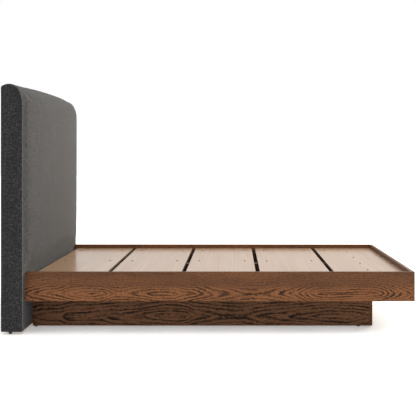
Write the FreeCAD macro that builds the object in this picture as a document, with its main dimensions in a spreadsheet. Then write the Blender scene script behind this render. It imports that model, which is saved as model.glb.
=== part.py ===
import FreeCAD, Part
import math
import os
import Sketcher

# Low platform bed for a queen mattress, with a tall upholstered headboard and a recessed plinth.
# Frame: +Z up, X across the bed, the headboard at +Y, the foot end facing -Y.
# Origin: on the floor, under the middle of the whole bed.

DRIVING_SIZES = {
    # headboard
    "head_wide": 1700, "head_deep": 112, "head_gap": 14, "head_high": 1295, "head_corner": 78,
    "head_back_edge": 17, "head_foot_edge": 6, "cover_thick": 2, "wadding_thick": 8,
    "foam_thick": 25, "foam_low": 330, "front_board_thick": 9, "back_board_thick": 4,
    "stud_deep": 70, "post_wide": 45, "head_frame_high": 1250, "head_rail_high": 60,
    "fixing_rail_low": 165, "fixing_rail_high": 150, "noggin_middle": 760,
    # bed frame
    "frame_wide": 1600, "rail_long": 2065, "rail_low": 168, "rail_high": 156, "rail_thick": 20,
    "rebate_deep": 6, "edge_ease": 1, "ledger_thick": 20, "ledger_high": 40, "corner_block_side": 42,
    "corner_block_high": 62, "bracket_leg": 60, "bracket_thick": 4, "bracket_high": 60,
    "bracket_up": 12,
    # deck
    "deck_top": 299, "deck_thick": 15, "panel_wide": 385, "panel_gap": 24, "panel_start": 24,
    "panel_side_gap": 1, "panel_ease": 0.8,
    # plinth
    "floor_gap": 5, "plinth_inset": 197, "plinth_thick": 20, "plinth_back_start": 20,
    "batten_side": 38, "glue_block_side": 40, "glue_block_high": 180,
    # hardware
    "screw_shank": 2, "screw_head": 5.5, "screw_head_deep": 2.7, "screw_dome": 2.4, "screw_long": 40,
    "bolt_shank": 4, "bolt_head": 8, "bolt_head_high": 5, "bolt_long": 75,
    "shank_play": 0.1, "insert_outer": 5, "insert_bore": 3.06, "insert_long": 15,
    "foot_stem": 3, "foot_pad": 10, "foot_clear": 0.3, "foot_toe": 1.5, "foot_stem_long": 22,
    "foot_stem_room": 10,
}

doc = FreeCAD.newDocument("PlatformBed")
sheet = doc.addObject("Spreadsheet::Sheet", "Sizes")
for row, (alias, value) in enumerate(DRIVING_SIZES.items(), start=1):
    sheet.set("A%d" % row, alias)
    sheet.set("B%d" % row, str(value))
    sheet.setAlias("B%d" % row, alias)
doc.recompute()


class Length:
    """A length in mm that knows its value and the sheet expression that gives it."""

    def __init__(self, value, text=None):
        self.value = float(value)
        self.text = repr(self.value) if text is None else text

    def combined(self, other, sign, result):
        """This length and another joined by a sign, with the value already worked out."""
        return Length(result, "(%s %s %s)" % (self.text, sign, other.text))

    def __add__(self, other):
        other = as_length(other)
        return self.combined(other, "+", self.value + other.value)

    def __sub__(self, other):
        other = as_length(other)
        return self.combined(other, "-", self.value - other.value)

    def __mul__(self, other):
        other = as_length(other)
        return self.combined(other, "*", self.value * other.value)

    def __truediv__(self, other):
        other = as_length(other)
        return self.combined(other, "/", self.value / other.value)

    def __radd__(self, other):
        return as_length(other) + self

    def __rsub__(self, other):
        return as_length(other) - self

    def __rmul__(self, other):
        return as_length(other) * self

    def __neg__(self):
        return as_length(0) - self


def as_length(value):
    """A plain number as a Length; a Length stays what it is."""
    return value if isinstance(value, Length) else Length(value)


def size(alias):
    """The named cell of the sheet as a Length."""
    return Length(sheet.get(alias), "Sizes." + alias)


# ---- places worked out from the driving sizes ----

half_deep = (size("head_deep") + size("rail_long")) / 2
head_face = half_deep - size("head_deep")  # the headboard's front, where the rails meet it
head_low = size("head_gap")
head_top = head_low + size("head_high")
head_half = size("head_wide") / 2
core_half = head_half - size("cover_thick") - size("wadding_thick")

foam_face = head_face + size("cover_thick")
board_face = foam_face + size("foam_thick")
stud_face = board_face + size("front_board_thick")
stud_back = stud_face + size("stud_deep")
back_board_back = stud_back + size("back_board_thick")
head_back = back_board_back + size("cover_thick")
core_low = head_low + size("cover_thick")
fixing_rail_top = size("fixing_rail_low") + size("fixing_rail_high")

frame_half = size("frame_wide") / 2
rail_inner = frame_half - size("rail_thick")
rail_top = size("rail_low") + size("rail_high")
foot_outer = head_face - size("rail_long")
foot_inner = foot_outer + size("rail_thick")
foot_lap = foot_inner - size("rebate_deep")

deck_under = size("deck_top") - size("deck_thick")
ledger_low = deck_under - size("ledger_high")
ledger_inner = rail_inner - size("ledger_thick")

plinth_half = frame_half - size("plinth_inset")
plinth_low = size("floor_gap")
plinth_inner = plinth_half - size("plinth_thick")
plinth_front_outer = foot_outer + size("plinth_inset")
plinth_front_inner = plinth_front_outer + size("plinth_thick")
plinth_back_front = head_face - size("plinth_back_start") - size("plinth_thick")
spine_half = size("plinth_thick") / 2

sub_parts = {}


# ---- helpers ----

def keep(label, feature):
    """Names a finished sub-part and lists it for export."""
    feature.Label = label
    sub_parts[label] = feature
    return feature


def drawn(value):
    """The expression text of a number or Length."""
    return as_length(value).text


def block(name, x, y, z):
    """A Part::Box between the given low and high places along X, Y and Z."""
    box = doc.addObject("Part::Box", name)
    for prop, (low, high) in zip(("Length", "Width", "Height"), (x, y, z)):
        box.setExpression(prop, drawn(as_length(high) - low))
    for letter, (low, _) in zip("xyz", (x, y, z)):
        box.setExpression("Placement.Base." + letter, drawn(low))
    doc.recompute()
    return box


def eased(base, radius):
    """The same solid with every edge rounded a little."""
    rounded = doc.addObject("Part::Fillet", base.Name + "_eased")
    rounded.Base = base
    edges = range(1, len(base.Shape.Edges) + 1)
    rounded.Edges = [(edge, radius.value, radius.value) for edge in edges]
    doc.recompute()
    return rounded


def cut_away(base, tool):
    """The base with the tool's solids taken out of it."""
    cut = doc.addObject("Part::Cut", base.Name + "_cut")
    cut.Base = base
    cut.Tool = tool
    doc.recompute()
    return cut


def solids_group(name, solids):
    """A Part::Feature that holds several separate solids."""
    group = doc.addObject("Part::Feature", name)
    group.Shape = Part.makeCompound(solids)
    return group


def outline_sketch(body, role, name, points):
    """A closed outline of straight lines on an origin plane, every corner bound to the sheet.

    The corners are given as non-negative places along the sketch's own two directions.
    """
    plane = [item for item in body.Origin.OriginFeatures if item.Role == role][0]
    sketch = body.newObject("Sketcher::SketchObject", name)
    sketch.AttachmentSupport = [(plane, "")]
    sketch.MapMode = "FlatFace"
    corners = [(as_length(a), as_length(b)) for a, b in points]
    vectors = [FreeCAD.Vector(a.value, b.value, 0) for a, b in corners]
    count = len(corners)
    for index in range(count):
        line = Part.LineSegment(vectors[index], vectors[(index + 1) % count])
        sketch.addGeometry(line)
    for index in range(count):
        joined = Sketcher.Constraint("Coincident", index, 2, (index + 1) % count, 1)
        sketch.addConstraint(joined)
    for index, corner in enumerate(corners):
        for kind, axis, place in (("DistanceX", -2, corner[0]), ("DistanceY", -1, corner[1])):
            if place.value == 0:
                sketch.addConstraint(Sketcher.Constraint("PointOnObject", index, 1, axis))
            else:
                distance = Sketcher.Constraint(kind, -1, 1, index, 1, place.value)
                number = sketch.addConstraint(distance)
                sketch.setExpression("Constraints[%d]" % number, place.text)
    doc.recompute()
    return sketch


def place_body(body, x, y, z):
    """Puts a body's own origin at the given place."""
    for letter, value in zip("xyz", (x, y, z)):
        body.setExpression("Placement.Base." + letter, drawn(value))
    doc.recompute()


def prism(name, role, points, length):
    """A PartDesign body: an outline on an origin plane, padded by a length."""
    body = doc.addObject("PartDesign::Body", name)
    sketch = outline_sketch(body, role, name + "_outline", points)
    pad = body.newObject("PartDesign::Pad", name + "_pad")
    pad.Profile = sketch
    pad.setExpression("Length", drawn(length))
    doc.recompute()
    return body


def round_edges(body, name, places, radius):
    """Fillets the body's edges along its own X that pass through the given (y, z) places."""
    solid = body.Tip
    names = []
    for index, edge in enumerate(solid.Shape.Edges, start=1):
        first, last = edge.Vertexes[0].Point, edge.Vertexes[-1].Point
        for y, z in places:
            spot = (as_length(y).value, as_length(z).value)
            if all(math.dist((p.y, p.z), spot) < 0.01 for p in (first, last)):
                names.append("Edge%d" % index)
    fillet = body.newObject("PartDesign::Fillet", name)
    fillet.Base = (solid, names)
    fillet.setExpression("Radius", drawn(radius))
    doc.recompute()
    return fillet


def turned(name, points):
    """A PartDesign body: a half outline (radius, height) revolved about Z."""
    body = doc.addObject("PartDesign::Body", name)
    sketch = outline_sketch(body, "XZ_Plane", name + "_outline", points)
    spin = body.newObject("PartDesign::Revolution", name + "_turned")
    spin.Profile = sketch
    spin.ReferenceAxis = (sketch, ["V_Axis"])
    spin.Angle = 360
    doc.recompute()
    return body


def rod(radius, start, direction, length):
    """A plain cylinder from a start point along a direction."""
    return Part.makeCylinder(radius, length, FreeCAD.Vector(*start), FreeCAD.Vector(*direction))


def countersunk(start, direction, play=0.0):
    """A raised countersunk wood screw domed over start; play swells it into its own hole."""
    head, shank = size("screw_head").value + play, size("screw_shank").value + play
    deep = size("screw_head_deep").value
    long = size("screw_long").value + play
    base, axis = FreeCAD.Vector(*start), FreeCAD.Vector(*direction)
    cone = Part.makeCone(head, shank, deep, base, axis)
    screw = cone.fuse(rod(shank, base + axis * deep, axis, long - deep))
    if play:
        return screw
    high = size("screw_dome").value
    ball = (head ** 2 + high ** 2) / (2 * high)
    rim = math.degrees(math.asin((ball - high) / ball))
    return screw.fuse(Part.makeSphere(ball, base + axis * (ball - high), -axis, rim, 90, 360))


def bolt(start, direction, play=0.0):
    """A bolt with a low round head that stands on start, its shank going along direction."""
    shank = size("bolt_shank").value + play
    shape = rod(shank, start, direction, size("bolt_long").value + play)
    if play:
        return shape
    away = [-part for part in direction]
    head = rod(size("bolt_head").value, start, away, size("bolt_head_high").value)
    return shape.fuse(head)


# ---- screw, bolt and foot positions ----

panel_pitch = size("panel_wide") + size("panel_gap")
board_middle = plinth_half.value - size("plinth_thick").value / 2
ledger_middle = rail_inner.value - size("ledger_thick").value / 2
batten_middle = -(spine_half.value + size("batten_side").value / 2)
PANEL_COUNT = 5
PLINTH_SCREW_SPREAD = 137  # each side of a panel's middle, over the plinth boards and the spine batten
LEDGER_SCREW_SPREAD = 104  # each side of a panel's middle, over the side ledgers
FRONT_ROW_PITCH = 332  # screws over the plinth's front board
FOOT_ROW_PITCH = 400  # screws over the foot ledger
ROW_OF_FOUR = (-1.5, -0.5, 0.5, 1.5)


def panel_middle(index):
    """Where the middle of deck panel 0, 1, ... lies along Y."""
    start = head_face.value - size("panel_start").value - size("panel_wide").value / 2
    return start - index * panel_pitch.value


def deck_screw_places():
    """The (x, y) of every deck screw, panel by panel."""
    places = []
    for index in range(PANEL_COUNT):
        middle = panel_middle(index)
        last = index == PANEL_COUNT - 1
        for side in (-1, 1):
            for step in (-LEDGER_SCREW_SPREAD, LEDGER_SCREW_SPREAD):
                places.append((side * ledger_middle, middle + step))
            if last:
                places.append((side * board_middle, middle + PLINTH_SCREW_SPREAD))
        if not last:
            for x in (-board_middle, batten_middle, board_middle):
                for step in (-PLINTH_SCREW_SPREAD, PLINTH_SCREW_SPREAD):
                    places.append((x, middle + step))
    front_row = plinth_front_outer.value + size("plinth_thick").value / 2
    foot_row = foot_inner.value + size("ledger_thick").value / 2
    places += [(step * FRONT_ROW_PITCH, front_row) for step in ROW_OF_FOUR]
    places += [(step * FOOT_ROW_PITCH, foot_row) for step in ROW_OF_FOUR]
    return places


deck_screws = deck_screw_places()
deck_top = size("deck_top").value
DOWN = (0, 0, -1)
deck_holes = solids_group(
    "deck_screw_holes",
    [countersunk((x, y, deck_top), DOWN, size("shank_play").value) for x, y in deck_screws],
)

# bolts that hold the rail brackets on the headboard, through its packing into the fixing rail
bracket_low = size("rail_low") + size("bracket_up")
BRACKET_BOLT_HEIGHTS = (16, 44)
bolt_x = rail_inner.value - size("bracket_leg").value * 0.6
bolt_y = head_face.value - size("bracket_thick").value
bolt_places = [
    (side * bolt_x, bolt_y, bracket_low.value + up)
    for side in (-1, 1)
    for up in BRACKET_BOLT_HEIGHTS
]
TOWARDS_HEAD = (0, 1, 0)
bolt_holes = solids_group(
    "bolt_holes",
    [bolt(place, TOWARDS_HEAD, size("shank_play").value) for place in bolt_places],
)

# levelling feet: under the plinth's side boards, under the spine and under the headboard's posts
foot_head_y = head_face.value - 18
foot_foot_y = head_face.value - 1792
spine_head_y = head_face.value - 140
post_middle_x = core_half.value - size("post_wide").value / 2
stud_middle_y = stud_face.value + size("stud_deep").value / 2
under_plinth, under_post = plinth_low.value, core_low.value
foot_places = {
    "foot_plinth_head_left": (-board_middle, foot_head_y, under_plinth),
    "foot_plinth_head_right": (board_middle, foot_head_y, under_plinth),
    "foot_plinth_end_left": (-board_middle, foot_foot_y, under_plinth),
    "foot_plinth_end_right": (board_middle, foot_foot_y, under_plinth),
    "foot_spine_head": (0, spine_head_y, under_plinth),
    "foot_spine_end": (0, foot_foot_y, under_plinth),
    "foot_headboard_left": (-post_middle_x, stud_middle_y, under_post),
    "foot_headboard_right": (post_middle_x, stud_middle_y, under_post),
}
play = size("shank_play").value
insert_reach = size("insert_long").value + play
stem_reach = size("foot_stem_long").value + size("foot_stem_room").value - under_plinth
UP = (0, 0, 1)


def foot_hole(place):
    """The stepped hole for one insert and, above it, the foot's stem."""
    mouth = rod(size("insert_outer").value + play, place, UP, insert_reach)
    return mouth.fuse(rod(size("foot_stem").value + 3 * play, place, UP, stem_reach))


foot_holes = solids_group("foot_holes", [foot_hole(place) for place in foot_places.values()])


# ---- headboard ----

def make_headboard_frame():
    """Posts, rails, studs and noggins of the timber frame inside the upholstery."""
    depth = (stud_face, stud_back)
    frame_top = size("head_frame_high")
    top_rail_low = frame_top - size("head_rail_high")
    bottom_rail_top = core_low + size("head_rail_high")
    post_inner = core_half - size("post_wide")
    stud_half = size("post_wide") / 2
    stud_x = post_inner / 3
    for side, sign in (("left", -1), ("right", 1)):
        x = (-core_half, -post_inner) if sign < 0 else (post_inner, core_half)
        post = block("post_" + side, x, depth, (core_low, frame_top))
        keep("headboard_post_" + side, cut_away(post, foot_holes))
        middle = stud_x * sign
        stud = (middle - stud_half, middle + stud_half)
        keep("headboard_stud_" + side, block("stud_" + side, stud, depth, (fixing_rail_top, top_rail_low)))
    between = (-post_inner, post_inner)
    fixing = block("fixing_rail", between, depth, (size("fixing_rail_low"), fixing_rail_top))
    keep("headboard_fixing_rail", cut_away(fixing, bolt_holes))
    keep("headboard_top_rail", block("top_rail", between, depth, (top_rail_low, frame_top)))
    keep("headboard_bottom_rail", block("bottom_rail", between, depth, (core_low, bottom_rail_top)))
    noggin_half = size("head_rail_high") / 2
    noggin_z = (size("noggin_middle") - noggin_half, size("noggin_middle") + noggin_half)
    spans = {
        "left": (-post_inner, -stud_x - stud_half),
        "centre": (-stud_x + stud_half, stud_x - stud_half),
        "right": (stud_x + stud_half, post_inner),
    }
    for where, span in spans.items():
        keep("headboard_noggin_" + where, block("noggin_" + where, span, depth, noggin_z))


def make_headboard_boards():
    """Front board, packing board below mattress level and back board."""
    across = (-core_half, core_half)
    upright = (core_low, size("head_frame_high"))
    front = block("front_board", across, (board_face, stud_face), upright)
    keep("headboard_front_board", cut_away(front, bolt_holes))
    packing = block("packing_board", across, (foam_face, board_face), (core_low, size("foam_low")))
    keep("headboard_packing_board", cut_away(packing, bolt_holes))
    keep("headboard_back_board", block("back_board", across, (stud_back, back_board_back), upright))


def make_headboard_soft():
    """Foam, wadding and the fabric panels, whose top front edge is a large round."""
    thick, corner = size("cover_thick"), size("head_corner")
    deep, high = size("head_deep"), size("head_high")
    clear = 0.3  # between curved layers
    inner_corner = corner - thick

    # foam: a slab in front of the board that folds back over the top of the frame
    foam_back = deep - 2 * thick
    foam_high = head_top - thick - clear - size("foam_low")
    frame_step = size("head_frame_high") - size("foam_low")
    foam_outline = [
        (0, 0), (size("foam_thick"), 0), (size("foam_thick"), frame_step),
        (foam_back, frame_step), (foam_back, foam_high), (0, foam_high),
    ]
    foam = prism("foam", "YZ_Plane", foam_outline, 2 * core_half)
    round_edges(foam, "foam_round", [(0, foam_high)], inner_corner)
    round_edges(foam, "foam_back_round", [(foam_back, foam_high)], size("head_back_edge"))
    place_body(foam, -core_half, foam_face, size("foam_low"))
    keep("headboard_foam", foam)

    # wadding and boxing panels: flat plates with the headboard's side outline
    for side in ("left", "right"):
        wadding_outline = [
            (0, 0), (deep - 2 * thick, 0),
            (deep - 2 * thick, high - 2 * thick), (0, high - 2 * thick),
        ]
        wadding = prism("wadding_" + side, "YZ_Plane", wadding_outline, size("wadding_thick"))
        round_edges(wadding, "wadding_round_" + side, [(0, high - 2 * thick)], inner_corner)
        back_top = [(deep - 2 * thick, high - 2 * thick)]
        round_edges(wadding, "wadding_back_" + side, back_top, size("head_back_edge"))
        x = -core_half - size("wadding_thick") if side == "left" else core_half
        place_body(wadding, x, foam_face, core_low)
        keep("headboard_wadding_" + side, wadding)

        panel_outline = [(0, 0), (deep, 0), (deep, high), (0, high)]
        panel = prism("cover_" + side, "YZ_Plane", panel_outline, thick)
        round_edges(panel, "cover_round_" + side, [(0, high)], corner)
        round_edges(panel, "cover_back_" + side, [(deep, high)], size("head_back_edge"))
        round_edges(panel, "cover_foot_" + side, [(0, 0), (deep, 0)], size("head_foot_edge"))
        x = -head_half if side == "left" else head_half - thick
        place_body(panel, x, head_face, head_low)
        keep("headboard_cover_" + side, panel)

    # front cover: falls from the back edge over the round top edge and down the front
    top_in, across = high - thick, head_half - thick
    front_outline = [
        (0, 0), (thick, 0), (thick, top_in), (deep - thick, top_in), (deep - thick, high), (0, high),
    ]
    front = prism("cover_front", "YZ_Plane", front_outline, 2 * across)
    round_edges(front, "front_outer_round", [(0, high)], corner)
    round_edges(front, "front_inner_round", [(thick, top_in)], inner_corner)
    place_body(front, -across, head_face, head_low)
    keep("headboard_cover_front", cut_away(front, bolt_holes))
    back_y = (back_board_back, head_back)
    back_z = (head_low, head_top - size("head_back_edge"))
    keep("headboard_cover_back", block("cover_back", (-across, across), back_y, back_z))


# ---- bed frame ----

def make_rails():
    """Side rails and the foot rail, whose rebated ends lap the side rails."""
    for side, sign in (("left", -1), ("right", 1)):
        x = (-frame_half, -rail_inner) if sign < 0 else (rail_inner, frame_half)
        rail = block("rail_" + side, x, (foot_lap, head_face), (size("rail_low"), rail_top))
        keep("side_rail_" + side, eased(rail, size("edge_ease")))
    wide, thick = size("frame_wide"), size("rail_thick")
    lap = thick - size("rebate_deep")
    foot_outline = [
        (0, 0), (wide, 0), (wide, lap), (wide - thick, lap),
        (wide - thick, thick), (thick, thick), (thick, lap), (0, lap),
    ]
    foot = prism("foot_rail_body", "XY_Plane", foot_outline, size("rail_high"))
    pad = foot.Tip
    outer_edges = [
        "Edge%d" % index
        for index, edge in enumerate(pad.Shape.Edges, start=1)
        if all(abs(vertex.Y) < 0.01 for vertex in edge.Vertexes)
    ]
    easing = foot.newObject("PartDesign::Fillet", "foot_rail_easing")
    easing.Base = (pad, outer_edges)
    easing.setExpression("Radius", size("edge_ease").text)
    place_body(foot, -frame_half, foot_outer, size("rail_low"))
    keep("foot_rail", foot)


def make_ledgers():
    """The battens inside the rails that carry the deck, and the foot corner blocks under them."""
    foot_ledger_back = foot_inner + size("ledger_thick")
    z = (ledger_low, deck_under)
    for side, sign in (("left", -1), ("right", 1)):
        x = (-rail_inner, -ledger_inner) if sign < 0 else (ledger_inner, rail_inner)
        ledger = block("ledger_" + side, x, (foot_ledger_back, head_face - 1), z)
        keep("side_ledger_" + side, cut_away(ledger, deck_holes))
        block_inner = rail_inner - size("corner_block_side")
        x = (-rail_inner, -block_inner) if sign < 0 else (block_inner, rail_inner)
        y = (foot_inner, foot_inner + size("corner_block_side"))
        corner = block("corner_" + side, x, y, (ledger_low - size("corner_block_high"), ledger_low))
        keep("corner_block_" + side, cut_away(corner, frame_screw_holes))
    ledger = block("ledger_foot", (-rail_inner, rail_inner), (foot_inner, foot_ledger_back), z)
    keep("foot_ledger", cut_away(ledger, deck_holes))


def make_brackets():
    """Steel angles that carry the rails' head ends on the headboard."""
    leg, thick = size("bracket_leg"), size("bracket_thick")
    for side in ("left", "right"):
        outline = [(0, 0), (leg, 0), (leg, leg), (leg - thick, leg), (leg - thick, thick), (0, thick)]
        if side == "left":
            outline = [(0, 0), (leg, 0), (leg, thick), (thick, thick), (thick, leg), (0, leg)]
        # the outline lies with its cross leg at the headboard, so it is drawn from the far end
        flipped = [(a, leg - b) for a, b in outline]
        angle = prism("angle_" + side, "XY_Plane", flipped[::-1], size("bracket_high"))
        x = -rail_inner if side == "left" else rail_inner - leg
        place_body(angle, x, head_face - leg, bracket_low)
        drilled = cut_away(cut_away(angle, bolt_holes), frame_screw_holes)
        keep("rail_bracket_" + side, drilled)


def frame_screw_list():
    """Start and direction of the screws in the brackets and the corner blocks."""
    screws = []
    y_steps = (20, 44)
    for side in (-1, 1):
        outwards = (side, 0, 0)
        inner_face = side * (rail_inner.value - size("bracket_thick").value)
        for step in y_steps:
            place = (inner_face, head_face.value - step, bracket_low.value + 30)
            screws.append((place, outwards))
        block_face = side * (rail_inner.value - size("corner_block_side").value)
        middle_y = foot_inner.value + size("corner_block_side").value / 2
        middle_z = ledger_low.value - size("corner_block_high").value / 2
        screws.append(((block_face, middle_y + 8, middle_z + 16), outwards))
        screws.append(((block_face, middle_y + 8, middle_z - 16), outwards))
    return screws


def short_screw(place, direction, play=0.0):
    """A short countersunk screw for the brackets and blocks, flush at its start."""
    head, shank = 3.6 + play, size("screw_shank").value + play
    base, axis = FreeCAD.Vector(*place), FreeCAD.Vector(*direction)
    reach = (16 if abs(place[1] - head_face.value) < 100 else 55) + play
    cone = Part.makeCone(head, shank, 2, base, axis)
    return cone.fuse(rod(shank, base + axis * 2, axis, reach - 2))


frame_screws = frame_screw_list()
frame_screw_holes = solids_group(
    "frame_screw_holes",
    [short_screw(place, direction, size("shank_play").value) for place, direction in frame_screws],
)


def drill_rails():
    """Takes the bracket and block screws' holes out of the side rails."""
    for side in ("left", "right"):
        label = "side_rail_" + side
        rail = sub_parts[label]
        rail.Label = label + "_blank"
        keep(label, cut_away(rail, frame_screw_holes))


# ---- deck ----

def make_deck():
    """Five loose panels across the bed, with countersunk holes, and their screws."""
    half = rail_inner - size("panel_side_gap")
    for index in range(PANEL_COUNT):
        start = head_face - size("panel_start") - index * panel_pitch
        y = (start - size("panel_wide"), start)
        panel = block("panel_%d" % (index + 1), (-half, half), y, (deck_under, size("deck_top")))
        softened = eased(panel, size("panel_ease"))
        keep("deck_panel_%d" % (index + 1), cut_away(softened, deck_holes))
    solids = [countersunk((x, y, deck_top), DOWN) for x, y in deck_screws]
    keep("deck_screws", solids_group("deck_screw_group", solids))


# ---- plinth ----

def plinth_screw_list():
    """Start and direction of the screws that hold the plinth's glue blocks and its spine."""
    screws = []
    blocks_low = plinth_low.value + 20
    for side in (-1, 1):
        face = side * (plinth_inner.value - size("glue_block_side").value)
        for middle in (front_block_y.value, back_block_y.value):
            y = middle + size("glue_block_side").value / 2
            for up in (50, 140):
                screws.append(((face, y, blocks_low + up), (side, 0, 0)))
    return screws


front_block_y = plinth_front_inner
back_block_y = plinth_back_front - size("glue_block_side")
plinth_screws = plinth_screw_list()
plinth_screw_holes = solids_group(
    "plinth_screw_holes",
    [short_screw(place, direction, size("shank_play").value) for place, direction in plinth_screws],
)


def make_plinth():
    """The recessed box of boards under the deck, with its spine, batten and glue blocks."""
    z = (plinth_low, deck_under)
    ends = (plinth_front_inner, head_face - 1)
    for side, sign in (("left", -1), ("right", 1)):
        x = (-plinth_half, -plinth_inner) if sign < 0 else (plinth_inner, plinth_half)
        board = cut_away(block("plinth_board_" + side, x, ends, z), foot_holes)
        drilled = cut_away(cut_away(board, deck_holes), plinth_screw_holes)
        keep("plinth_side_" + side, drilled)
        block_inner = plinth_inner - size("glue_block_side")
        x = (-plinth_inner, -block_inner) if sign < 0 else (block_inner, plinth_inner)
        low = plinth_low + 20
        for end, start in (("front", front_block_y), ("back", back_block_y)):
            y = (start, start + size("glue_block_side"))
            glue = block("glue_" + end + "_" + side, x, y, (low, low + size("glue_block_high")))
            keep("plinth_block_%s_%s" % (end, side), cut_away(glue, plinth_screw_holes))
    front_y = (plinth_front_outer, plinth_front_inner)
    front = eased(block("front_panel", (-plinth_half, plinth_half), front_y, z), size("edge_ease"))
    keep("plinth_front", cut_away(front, deck_holes))
    back_y = (plinth_back_front, plinth_back_front + size("plinth_thick"))
    keep("plinth_back", block("back_panel", (-plinth_inner, plinth_inner), back_y, z))
    spine_y = (plinth_front_inner, plinth_back_front)
    spine = block("spine", (-spine_half, spine_half), spine_y, z)
    keep("plinth_spine", cut_away(spine, foot_holes))
    batten_x = (-spine_half - size("batten_side"), -spine_half)
    batten_z = (deck_under - size("batten_side"), deck_under)
    batten = block("batten", batten_x, spine_y, batten_z)
    keep("plinth_spine_batten", cut_away(batten, deck_holes))


# ---- hardware ----

def make_screws_and_bolts():
    """The groups of identical fasteners."""
    keep("frame_screws", solids_group("frame_screw_group", [short_screw(*one) for one in frame_screws]))
    keep("plinth_screws", solids_group("plinth_screw_group", [short_screw(*one) for one in plinth_screws]))
    bolts = [bolt(place, TOWARDS_HEAD) for place in bolt_places]
    keep("bracket_bolts", solids_group("bolt_group", bolts))
    inserts = []
    for start in foot_places.values():
        outer = rod(size("insert_outer").value, start, UP, size("insert_long").value)
        inserts.append(outer.cut(rod(size("insert_bore").value, start, UP, size("insert_long").value)))
    keep("foot_inserts", solids_group("insert_group", inserts))


def make_feet():
    """Levelling feet: a domed plastic pad on a threaded stem, each in a body of its own."""
    pad, stem = size("foot_pad"), size("foot_stem")
    for label, (x, y, under) in foot_places.items():
        high = (core_low if under == under_post else plinth_low) - size("foot_clear")
        top = high + size("foot_stem_long")
        outline = [
            (0, 0), (pad * 0.8, 0), (pad, size("foot_toe")), (pad, high - size("foot_toe")),
            (pad * 0.85, high), (stem, high), (stem, top), (0, top),
        ]
        foot = turned(label + "_body", outline)
        place_body(foot, x, y, 0)
        keep(label, foot)


make_headboard_frame()
make_headboard_boards()
make_headboard_soft()
make_rails()
make_ledgers()
make_brackets()
drill_rails()
make_deck()
make_plinth()
make_screws_and_bolts()
make_feet()
doc.recompute()

# ---- checks before anything is written ----

for item in doc.Objects:
    if "Invalid" in item.State or "Error" in item.State:
        raise RuntimeError("%s did not build: %s" % (item.Label, item.State))
for label, feature in sub_parts.items():
    shape = feature.Shape
    if shape.isNull() or not shape.isValid() or not shape.Solids:
        raise RuntimeError(label + " has no valid solid")
if len(sub_parts) > 60:
    raise RuntimeError("too many sub-parts: %d" % len(sub_parts))

os.makedirs("parts", exist_ok=True)
for label, feature in sub_parts.items():
    feature.Shape.exportStep("parts/%s.step" % label)
print("%d sub-parts written" % len(sub_parts))
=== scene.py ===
"""Looks of a low queen-size platform bed: upholstered headboard, stained timber frame, panel deck.

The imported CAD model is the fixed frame. Timber, deck and hardware keep their CAD solids and get
finishes here; the upholstery and the deck screws are pieces of their own.
"""
import logging
import math
from dataclasses import dataclass, replace
from enum import Enum
from typing import Callable, Sequence, Union

import bpy
import numpy as np
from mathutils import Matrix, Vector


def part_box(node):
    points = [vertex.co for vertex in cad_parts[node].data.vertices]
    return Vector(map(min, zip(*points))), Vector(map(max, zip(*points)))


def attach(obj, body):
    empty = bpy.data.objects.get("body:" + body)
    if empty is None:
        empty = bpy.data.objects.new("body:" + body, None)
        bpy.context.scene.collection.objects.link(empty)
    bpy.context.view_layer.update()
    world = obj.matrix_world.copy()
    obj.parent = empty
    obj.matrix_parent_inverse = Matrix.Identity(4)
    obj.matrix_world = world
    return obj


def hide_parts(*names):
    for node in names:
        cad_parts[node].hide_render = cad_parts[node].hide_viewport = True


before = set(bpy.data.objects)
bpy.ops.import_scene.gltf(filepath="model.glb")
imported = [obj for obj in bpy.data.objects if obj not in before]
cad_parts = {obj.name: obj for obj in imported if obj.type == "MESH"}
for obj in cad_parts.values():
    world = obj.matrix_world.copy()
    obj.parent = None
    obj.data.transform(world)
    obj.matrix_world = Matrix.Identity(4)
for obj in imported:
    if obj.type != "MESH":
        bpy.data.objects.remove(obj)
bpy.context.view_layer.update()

log = logging.getLogger("platform_bed")

BED_BODY = "bed"
CLOTH_MAP = "cloth"  # the UV map with places on the cloth, m
DECK_TOP = 0.299  # height of the deck's face, m
QUARTER = math.pi / 2
SIDES = {-1: "_left", 1: "_right"}
CLOTH_GAP = 3.0  # how far apart the covers are read from the cloth, so that no two look alike, m


# ---------------------------------------------------------------- shader wiring

Number = Union[float, int]
Colour = tuple[float, float, float, float]
Array = np.ndarray
Material = bpy.types.Material
Piece = bpy.types.Object


def stain(*channels: Number) -> Colour:
    """A display colour as a linear colour with full alpha, by the sRGB curve.

    Args:
        channels: red, green and blue from 0 to 255.

    Returns:
        The linear colour.
    """
    share = np.array(channels, float) / 255.0
    linear = np.where(share <= 0.04045, share / 12.92, ((share + 0.055) / 1.055) ** 2.4)
    return (*map(float, linear), 1.0)


def math_method(operation: str, reflected: bool = False) -> Callable[..., "Sock"]:
    """A method of Sock that adds one Math node.

    Args:
        operation: the Math node's operation.
        reflected: puts the other value first.

    Returns:
        The method; it takes the other value where the operation has one.
    """
    def method(sock: "Sock", other: "Term" = 0.0) -> "Sock":
        """The node's result."""
        return sock.wiring.math(operation, *((other, sock) if reflected else (sock, other)))

    return method


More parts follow.
